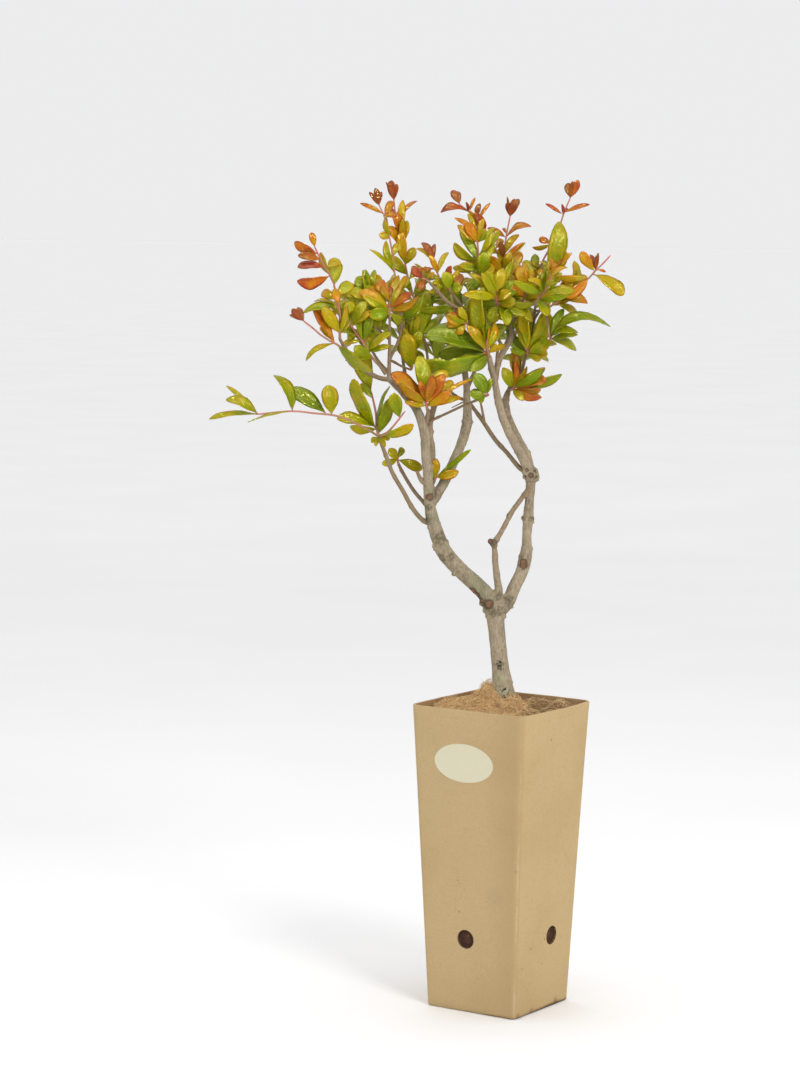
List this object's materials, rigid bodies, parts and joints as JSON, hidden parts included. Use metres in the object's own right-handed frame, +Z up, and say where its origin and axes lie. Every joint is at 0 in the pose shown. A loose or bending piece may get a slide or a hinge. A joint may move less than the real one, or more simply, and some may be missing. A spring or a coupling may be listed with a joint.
{
  "type": "pomegranate bonsai tree in a pot",
  "caption": "Young pomegranate trained as a bonsai: a leaning forked trunk with leafy sprays, in a tall tapered square cardboard pot filled with soil and coir.",
  "frame": {"origin": "middle of the underside of the pot, on the surface it stands on", "axes": "+Z up along the pot and the trunk; -Y out of the wall that carries the oval label; +X out of the next wall to the right, seen from the front"},
  "size_m": [0.3077, 0.3509, 0.824],
  "materials": {
    "kraft_board": "matte kraft board",
    "soil": "dark moist potting soil",
    "coir": "loose coconut fibre",
    "label_paper": "smooth cream paper",
    "bark": "grey-beige bark with scars",
    "leaf_green": "glossy green leaf",
    "leaf_yellow_green": "glossy yellow-green leaf",
    "leaf_orange": "glossy orange leaf",
    "leaf_red": "glossy young red leaf"
  },
  "bodies": {
    "root": {"pot": "kraft_board", "soil": "soil", "coir": "coir", "label": "label_paper", "trunk": "bark", "spray_low_left": "leaf_green", "spray_low_middle": "leaf_green", "spray_crotch": "leaf_orange", "spray_left_edge": "leaf_yellow_green", "tip_left_edge": "leaf_orange", "spray_left_bud": "leaf_yellow_green", "tip_left_bud": "leaf_red", "spray_left_mass": "leaf_yellow_green", "spray_upright": "leaf_orange", "spray_left_inner": "leaf_yellow_green", "spray_second": "leaf_yellow_green", "tip_second": "leaf_red", "spray_first": "leaf_yellow_green", "tip_first": "leaf_red", "spray_orange_left": "leaf_orange", "spray_left_front": "leaf_yellow_green", "spray_sixth": "leaf_yellow_green", "spray_dark": "leaf_red", "spray_right_front": "leaf_green", "spray_thin_twig": "leaf_green", "spray_orange_right": "leaf_orange", "spray_shoot": "leaf_green", "spray_seventh": "leaf_yellow_green", "tip_seventh": "leaf_red", "spray_big_leaf": "leaf_yellow_green", "spray_eighth": "leaf_yellow_green", "tip_eighth": "leaf_orange", "spray_arched": "leaf_green", "spray_fifth": "leaf_yellow_green", "tip_fifth": "leaf_orange", "spray_third": "leaf_orange", "tip_third": "leaf_red", "spray_fourth": "leaf_yellow_green", "spray_mass_left": "leaf_yellow_green", "spray_mass_right": "leaf_yellow_green", "spray_fill_left_a": "leaf_yellow_green", "spray_fill_left_b": "leaf_yellow_green", "spray_fill_right_a": "leaf_green", "spray_fill_right_b": "leaf_yellow_green", "spray_fill_right_c": "leaf_yellow_green", "spray_back_left_a": "leaf_yellow_green", "spray_back_left_b": "leaf_yellow_green", "spray_back_left_c": "leaf_yellow_green", "spray_back_mid_a": "leaf_yellow_green", "spray_back_mid_b": "leaf_yellow_green", "spray_back_mid_c": "leaf_green", "spray_back_right_a": "leaf_yellow_green", "spray_back_right_b": "leaf_yellow_green", "spray_back_right_c": "leaf_yellow_green", "spray_back_right_low": "leaf_green"}
  },
  "joints": []
}
